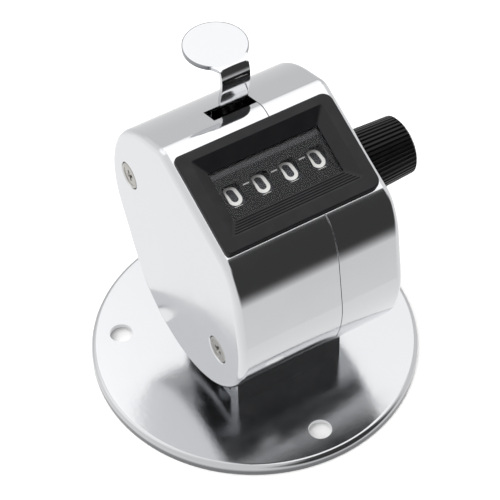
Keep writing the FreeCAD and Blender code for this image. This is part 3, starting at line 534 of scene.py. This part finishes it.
def buildWindowFrame():
    s = frameShape
    bm = bmesh.new()
    addBlock(bm, (-s["width"] / 2, -s["height"] / 2, -s["proud"]), (s["width"] / 2, s["height"] / 2, 0))
    uprights = [e for e in bm.edges if abs(e.verts[0].co.z - e.verts[1].co.z) > 0.5 * s["proud"] * mm]
    for side in (-1, 1):
        chosen = [e for e in uprights if e.is_valid and e.verts[0].co.x * side > 0]
        roundEdges(bm, chosen, s["corners"][side > 0], 8)
        uprights = [e for e in uprights if e.is_valid]
    top = [e for e in bm.edges if all(abs(v.co.z) < 1e-7 for v in e.verts)]
    roundEdges(bm, top, s["rim"], 5)
    tub = bmesh.new()
    half = [v / 2 for v in s["tub"]]
    addBlock(tub, (-half[0], s["along"] - half[1], s["floor"]), (half[0], s["along"] + half[1], -0.8))
    bm = worked(bm, "BOOLEAN", tub, operation="UNION", solver="EXACT")
    slope = [(m - n) / 2 / s["depth"] for m, n in zip(s["mouth"], s["sight"])]
    funnel = bmesh.new()
    verts = addBlock(funnel, (-1, -1, -s["depth"]), (1, 1, 1.0))
    for v in verts:
        rise = v.co.z / mm
        v.co.x *= s["mouth"][0] / 2 + slope[0] * rise
        v.co.y = v.co.y * (s["mouth"][1] / 2 + slope[1] * rise) + s["along"] * mm
    roundEdges(funnel, [e for e in funnel.edges if abs(e.verts[0].co.z - e.verts[1].co.z) > 0.5 * mm], 0.5, 4)
    bm = cutOut(bm, funnel)
    hole = bmesh.new()
    addBlock(hole, (-s["sight"][0] / 2, s["along"] - s["sight"][1] / 2, -6),
             (s["sight"][0] / 2, s["along"] + s["sight"][1] / 2, 1))
    bm = cutOut(bm, hole)
    # fine moulded lines along the lower slope of the funnel
    angle = math.atan2(s["depth"], (s["mouth"][1] - s["sight"][1]) / 2)
    for k in range(s["ribs"]):
        share = (k + 0.75) / (s["ribs"] + 0.6)
        length = s["sight"][0] + share * (s["mouth"][0] - s["sight"][0]) - 1.0
        rib = bmesh.new()
        addBlock(rib, (-length / 2, -s["ribWidth"] / 2, -0.15), (length / 2, s["ribWidth"] / 2, s["ribRise"]))
        roundEdges(rib, [e for e in rib.edges if all(v.co.z > 0 for v in e.verts)], 0.12, 3)
        bmesh.ops.rotate(rib, verts=rib.verts, cent=(0, 0, 0), matrix=Matrix.Rotation(-angle, 3, "X"))
        low = s["along"] - s["sight"][1] / 2 - share * (s["mouth"][1] - s["sight"][1]) / 2
        bmesh.ops.translate(rib, verts=rib.verts, vec=Vector((0, low, -s["depth"] * (1 - share))) * mm)
        addMesh(bm, rib)
    bmesh.ops.transform(bm, matrix=windowFrame, verts=bm.verts)
    return putOn(bm, "window_frame", "bezelBlack", "case_and_base", ["bezel"], 20)


# the sheet behind the window, with one opening for each wheel
maskShape = {"size": (34.0, 19.0), "along": 0.5, "top": -2.4, "sheet": 0.4,
             "windows": (-10.5, -3.5, 3.5, 10.5), "windowHalf": 2.0, "windowLow": -2.7,
             "windowHigh": 2.55, "round": 0.7, "tick": (1.5, 0.3, 0.04), "tickUp": 1.2,
             "strip": (27.0, 1.1), "stripUp": 5.2}


def buildMask():
    s = maskShape
    bm = bmesh.new()
    half = [v / 2 for v in s["size"]]
    addBlock(bm, (-half[0], s["along"] - half[1], s["top"] - s["sheet"]),
             (half[0], s["along"] + half[1], s["top"]))
    for x in s["windows"]:
        tool = bmesh.new()
        addBlock(tool, (x - s["windowHalf"], s["windowLow"], -5), (x + s["windowHalf"], s["windowHigh"], 0))
        corners = [e for e in tool.edges if abs(e.verts[0].co.z - e.verts[1].co.z) > mm]
        roundEdges(tool, corners, s["round"], 4)
        bm = cutOut(bm, tool)
    bmesh.ops.transform(bm, matrix=windowFrame, verts=bm.verts)
    putOn(bm, "mask_sheet", "maskBlack", "case_and_base", ["number_mask"])
    # a lighter pressed strip runs along the upper edge of the sight
    strip = bmesh.new()
    wide, tall = s["strip"]
    addBlock(strip, (-wide / 2, s["stripUp"] - tall / 2, s["top"] - 0.01),
             (wide / 2, s["stripUp"] + tall / 2, s["top"] + 0.04))
    bmesh.ops.transform(strip, matrix=windowFrame, verts=strip.verts)
    putOn(strip, "mask_top_strip", "stripGrey", "case_and_base")
    # short grey dashes of painted highlight sit on the bars between the windows
    dashes = bmesh.new()
    wide, tall, inkAndGlintDepth = s["tick"]
    for left, right in zip(s["windows"], s["windows"][1:]):
        middle = (left + right) / 2
        addBlock(dashes, (middle - wide / 2, s["tickUp"] - tall / 2, s["top"] - 0.01),
                 (middle + wide / 2, s["tickUp"] + tall / 2, s["top"] + inkAndGlintDepth))
    bmesh.ops.transform(dashes, matrix=windowFrame, verts=dashes.verts)
    putOn(dashes, "mask_painted_glints", "paintedGlintGrey", "case_and_base")


# the lever: a round pad, a bent neck, and a cross bar with two arms inside the case
leverShape = {"padY": 13.9, "padRadius": 7.25, "top": 86.0, "sheet": 1.0, "armsInside": 16.2,
              "pin": (-19.8, 58.2), "pinHole": 1.05, "bar": (5.2, 68.6),
              "barY": (3.3, 7.1), "barZ": (68.9, 69.9),
              "rows": ((6.52, 4.15, 0.6, 85.97), (6.38, 3.8, 0.3, 85.93), (6.2, 3.58, 0.1, 85.82),
                       (5.85, 3.5, 0, 85.5), (5.6, 3.5, 0, 84.9), (5.42, 3.5, 0, 84.1), (5.33, 3.5, 0, 83.2),
                       (5.31, 3.5, 0, 82.2), (5.38, 3.5, 0, 81.0), (5.72, 3.5, 0, 79.2), (6.2, 3.5, 0, 77.3),
                       (6.42, 3.5, 0, 75.5), (6.35, 3.5, 0, 72.0), (6.1, 3.5, 0, 69.0))}


def buildLever():
    s = leverShape
    bm = bmesh.new()
    # round pad, then the sheet drawn out of its front edge, narrowing into the neck
    disc = bmesh.ops.create_circle(bm, cap_ends=True, segments=120, radius=s["padRadius"] * mm)["verts"]
    bmesh.ops.translate(bm, verts=disc, vec=Vector((0, s["padY"], s["top"])) * mm)
    front = [e for e in bm.edges if all(v.co.y < (s["padY"] - 5.55) * mm for v in e.verts)]
    arcFront = (s["padY"] - s["padRadius"]) * mm
    start = {}
    for row in s["rows"]:
        grown = bmesh.ops.extrude_edge_only(bm, edges=front)["geom"]
        verts = [g for g in grown if isinstance(g, bmesh.types.BMVert)]
        front = [g for g in grown if isinstance(g, bmesh.types.BMEdge)]
        front = [e for e in front if all(v in verts for v in e.verts)]
        widest = max(abs(v.co.x) for v in verts)
        if not start:
            start = {round(v.co.x / widest, 4): v.co.y - arcFront for v in verts}
        for v in verts:
            share = round(v.co.x / widest, 4)
            bow = min(start.items(), key=lambda item: abs(item[0] - share))[1]
            v.co = Vector((share * row[1] * mm, row[0] * mm + bow * row[2], row[3] * mm))
    bmesh.ops.recalc_face_normals(bm, faces=bm.faces)
    if max(bm.faces, key=lambda f: f.calc_area()).normal.z < 0:
        bmesh.ops.reverse_faces(bm, faces=bm.faces)
    bm = worked(bm, "SOLIDIFY", thickness=s["sheet"] * mm, offset=-1.0, use_even_offset=True, use_rim=True)
    roundEdges(bm, sharpEdges(bm, 50), 0.3, 4)
    # the parts inside the case: cross bar and the two side arms
    inner = bmesh.new()
    outside = s["armsInside"] + s["sheet"]
    (y0, y1), (z0, z1) = s["barY"], s["barZ"]
    addBlock(inner, (-outside, y0, z0), (outside, y1, z1))
    roundEdges(inner, inner.edges[:], 0.15, 2)
    for side in (-1, 1):
        arm = bmesh.new()
        for (y, z), radius in ((s["pin"], 2.0), (s["bar"], 1.9)):
            x0, x1 = sorted((side * s["armsInside"], side * outside))
            addRod(arm, radius, x0, x1, y, z, 48)
        wrapHull(arm)
        bmesh.ops.dissolve_limit(arm, angle_limit=math.radians(0.4), verts=arm.verts, edges=arm.edges)
        tool = bmesh.new()
        middle = side * (s["armsInside"] + s["sheet"] / 2)
        addRod(tool, s["pinHole"], middle - 3, middle + 3, *s["pin"], 32)
        arm = cutOut(arm, tool)
        addMesh(inner, arm)
    addMesh(bm, inner)
    return putOn(bm, "thumb_lever_plate", "leverChrome", "lever", ["thumb_lever"])


# the coil that lifts the lever again
springShape = {"radius": 2.3, "wire": 0.25, "turns": 9.0, "y": 5.0, "low": 53.05, "high": 68.85,
               "perTurn": 40, "around": 10, "keep": 0.8}


def buildReturnSpring():
    s = springShape
    bm = bmesh.new()
    total = int(s["turns"] * s["perTurn"])
    rise = (s["high"] - s["low"] - 2 * s["wire"]) * mm
    ring = bmesh.ops.create_circle(bm, cap_ends=True, segments=s["around"], radius=s["wire"] * mm)["verts"]
    bmesh.ops.rotate(bm, verts=ring, cent=(0, 0, 0), matrix=Matrix.Rotation(math.pi / 2, 3, "X"))
    bmesh.ops.translate(bm, verts=ring, vec=Vector((s["radius"], s["y"], s["low"] + s["wire"])) * mm)
    bmesh.ops.spin(bm, geom=bm.faces[:], cent=(0, s["y"] * mm, 0), axis=(0, 0, 1), dvec=(0, 0, rise / total),
                   angle=2 * math.pi * s["turns"], steps=total, use_merge=False, use_duplicate=False)
    bmesh.ops.recalc_face_normals(bm, faces=bm.faces)
    piece = putOn(bm, "return_coil", "springWire", "case_and_base", ["return_spring"], 60)
    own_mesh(piece)


# cross headed screws, two in each side of the case
screwShape = {"head": 3.16, "rise": 1.35, "round": 0.3, "face": 20.93, "crossWidth": 0.95, "crossLength": 3.5,
              "crossDepth": 0.9, "shank": 1.25, "shankLength": 8.0,
              "stepInset": 0.42, "stepWidth": 0.12, "stepDepth": 0.14, "turns": (28, 75)}


def buildScrews(side):
    s = screwShape
    whole = bmesh.new()
    for k, (y, z) in enumerate(caseShape["posts"]):
        bm = bmesh.new()
        addRod(bm, s["head"], -s["rise"], 0, 0, 0, 64)
        rim = [e for e in sharpEdges(bm, 60) if all(v.co.x > -1e-6 for v in e.verts)]
        roundEdges(bm, rim, s["round"], 4)
        face = max((f for f in bm.faces if f.normal.x > 0.99), key=lambda f: f.calc_area())
        # shallow turned step in the face
        bmesh.ops.inset_individual(bm, faces=[face], thickness=s["stepInset"] * mm)
        face = max((f for f in bm.faces if f.normal.x > 0.99), key=lambda f: f.calc_area())
        bmesh.ops.inset_individual(bm, faces=[face], thickness=s["stepWidth"] * mm,
                                   depth=-s["stepDepth"] * mm)
        turn = Matrix.Rotation(math.radians(s["turns"][k]), 3, "X")
        for quarter in (0, math.pi / 2):
            wedge = bmesh.new()
            verts = addBlock(wedge, (-s["crossDepth"], -s["crossWidth"] / 2, -s["crossLength"] / 2),
                             (0.5, s["crossWidth"] / 2, s["crossLength"] / 2))
            low = [v for v in verts if v.co.x < 0]
            bmesh.ops.scale(wedge, verts=low, vec=(1, 0.6, 0.45))
            bmesh.ops.rotate(wedge, verts=wedge.verts, cent=(0, 0, 0),
                             matrix=turn @ Matrix.Rotation(quarter, 3, "X"))
            bm = cutOut(bm, wedge)
        addRod(bm, s["shank"], -s["shankLength"], -s["rise"] + 0.1, 0, 0, 48)
        if side < 0:
            bmesh.ops.rotate(bm, verts=bm.verts, cent=(0, 0, 0), matrix=Matrix.Rotation(math.pi, 3, "Z"))
        bmesh.ops.translate(bm, verts=bm.verts, vec=Vector((side * s["face"], y, z)) * mm)
        addMesh(whole, bm)
    name = "left" if side < 0 else "right"
    return putOn(whole, "screws_" + name, "screwSteel", "case_and_base", [name + "_screws"])


# ten figures printed round each number wheel
figureShape = {"width": 3.3, "height": 5.35, "stroke": 0.82, "wheel": 8.8, "lift": 0.02,
               "inkAndGlintDepth": 0.05, "angle": 84.5, "bendStep": 0.35,
               "centre": (-8.81, 57.086), "wheels": (("thousands", -10.5), ("hundreds", -3.5), ("tens", 3.5),
                                                     ("units", 10.5))}


def figureMesh(text):
    s = figureShape
    if text == "0":
        # the nought is a long ring with straight flanks
        bm = bmesh.new()
        flank = (s["height"] - s["width"]) / 2 * mm
        for inset in (0.0, s["stroke"]):
            ring = bmesh.ops.create_circle(bm, segments=48, radius=(s["width"] / 2 - inset) * mm)["verts"]
            bmesh.ops.rotate(bm, verts=ring, cent=(0, 0, 0), matrix=Matrix.Rotation(math.pi / 48, 3, "Z"))
            for half in (-1, 1):
                part = [v for v in ring if v.co.y * half > 0 and abs(v.co.y) < s["width"] * mm]
                bmesh.ops.translate(bm, verts=part, vec=(0, half * flank, 0))
        bmesh.ops.bridge_loops(bm, edges=bm.edges[:])
        grown = bmesh.ops.extrude_face_region(bm, geom=bm.faces[:])["geom"]
        raised = [g for g in grown if isinstance(g, bmesh.types.BMVert)]
        bmesh.ops.translate(bm, verts=raised, vec=Vector((0, 0, s["inkAndGlintDepth"])) * mm)
        bmesh.ops.translate(bm, verts=bm.verts, vec=Vector((0, 0, -s["inkAndGlintDepth"] / 2)) * mm)
        bmesh.ops.recalc_face_normals(bm, faces=bm.faces)
        return bm
    letters = bpy.data.curves.new("figure " + text, "FONT")
    letters.body = text
    letters.size = 1.0
    letters.offset = 0.012
    letters.extrude = 0.05
    letters.resolution_u = 6
    holder = bpy.data.objects.new("figure", letters)
    bpy.context.scene.collection.objects.link(holder)
    mesh = bpy.data.meshes.new_from_object(holder.evaluated_get(bpy.context.evaluated_depsgraph_get()))
    bpy.data.objects.remove(holder)
    bm = bmesh.new()
    bm.from_mesh(mesh)
    bmesh.ops.remove_doubles(bm, verts=bm.verts, dist=1e-5)
    low = Vector(min(v.co[i] for v in bm.verts) for i in range(3))
    high = Vector(max(v.co[i] for v in bm.verts) for i in range(3))
    bmesh.ops.translate(bm, verts=bm.verts, vec=-(low + high) / 2)
    size = high - low
    broad = s["width"] * (0.6 if text == "1" else 1.0)
    bmesh.ops.scale(bm, verts=bm.verts,
                    vec=(broad * mm / size.x, s["height"] * mm / size.y, s["inkAndGlintDepth"] * mm / size.z))
    return bm


# bends a flat figure round the wheel at x, turned by degrees
def rollOn(bm, x, degrees):
    s = figureShape
    for k in range(-8, 9):
        sliceAt(bm, (0, k * s["bendStep"] * mm, 0), (0, 1, 0), dist=1e-8)
    for v in bm.verts:
        radius = (s["wheel"] + s["lift"]) * mm + v.co.z
        turn = math.radians(degrees) + v.co.y / (s["wheel"] * mm)
        v.co = Vector((x * mm + v.co.x, s["centre"][0] * mm - radius * math.cos(turn),
                       s["centre"][1] * mm + radius * math.sin(turn)))


def buildFigures():
    s = figureShape
    digits = [figureMesh(str(k)) for k in range(10)]
    for body, x in s["wheels"]:
        whole = bmesh.new()
        for k, digit in enumerate(digits):
            bm = digit.copy()
            rollOn(bm, x, s["angle"] - 36 * k)
            addMesh(whole, bm)
        putOn(whole, body + "_figures", "figureWhite", body)
    for digit in digits:
        digit.free()


buildBase()
buildCaseHalf(-1)
buildCaseHalf(1)
print("stage: base and case halves")
buildWindowFrame()
buildMask()
buildLever()
buildReturnSpring()
for side in (-1, 1):
    buildScrews(side)
print("stage: window frame, mask, lever, spring and screws")
buildFigures()
print("stage: figures on the wheels")
